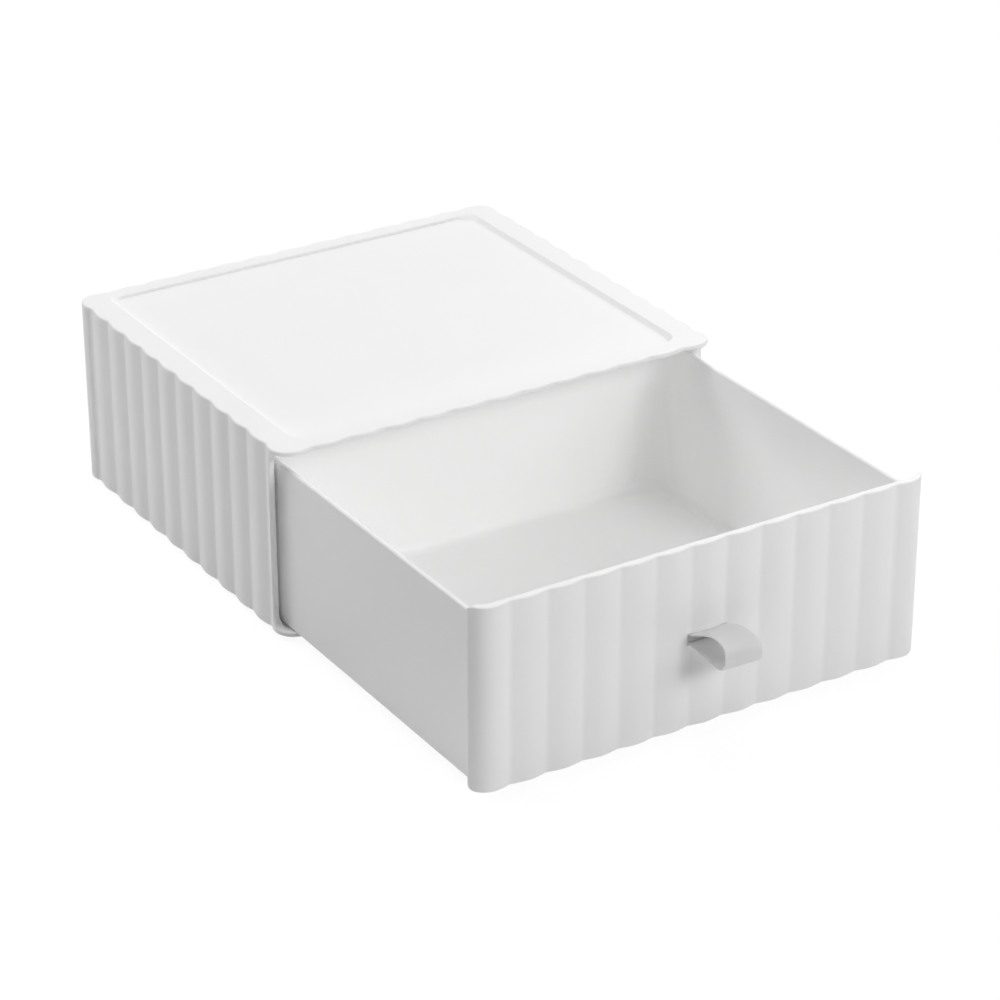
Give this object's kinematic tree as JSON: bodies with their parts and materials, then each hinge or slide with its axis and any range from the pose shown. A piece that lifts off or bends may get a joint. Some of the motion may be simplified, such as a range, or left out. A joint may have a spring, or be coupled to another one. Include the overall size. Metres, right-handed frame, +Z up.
{
  "type": "stackable drawer box",
  "caption": "Fluted plastic casing with a stacking recess in its top, and a drawer that slides out of its front by a soft loop pull.",
  "frame": {"origin": "on the underside of the nesting plateau that the box stands on, in the middle of the casing's width and depth; the pulled-out drawer doesn't shift it", "axes": "+X to the right of someone who faces the drawer's front, +Y to the back, away from the way the drawer opens, +Z up"},
  "size_m": [0.1824, 0.3078, 0.0742],
  "materials": {
    "casing_plastic": "satin white, moulded",
    "drawer_plastic": "satin white, moulded",
    "strap_plastic": "soft, slightly cloudy, smooth",
    "clip_plastic": "satin white, moulded"
  },
  "bodies": {
    "casing": {"casing": "casing_plastic"},
    "drawer": {"drawer": "drawer_plastic", "strap_clip": "clip_plastic"},
    "pull": {"pull_strap": "strap_plastic"}
  },
  "joints": [
    {"name": "drawer_slide", "type": "slide", "parent": "casing", "child": "drawer", "axis": [0, -1, 0], "range_m": [-0.127, 0]},
    {"name": "pull_flex", "type": "hinge", "parent": "drawer", "child": "pull", "pos_m": [0, -0.2083, 0.0373], "axis": [1, 0, 0], "range_deg": [-15, 15], "stiffness_Nm_per_rad": 0.006}
  ]
}
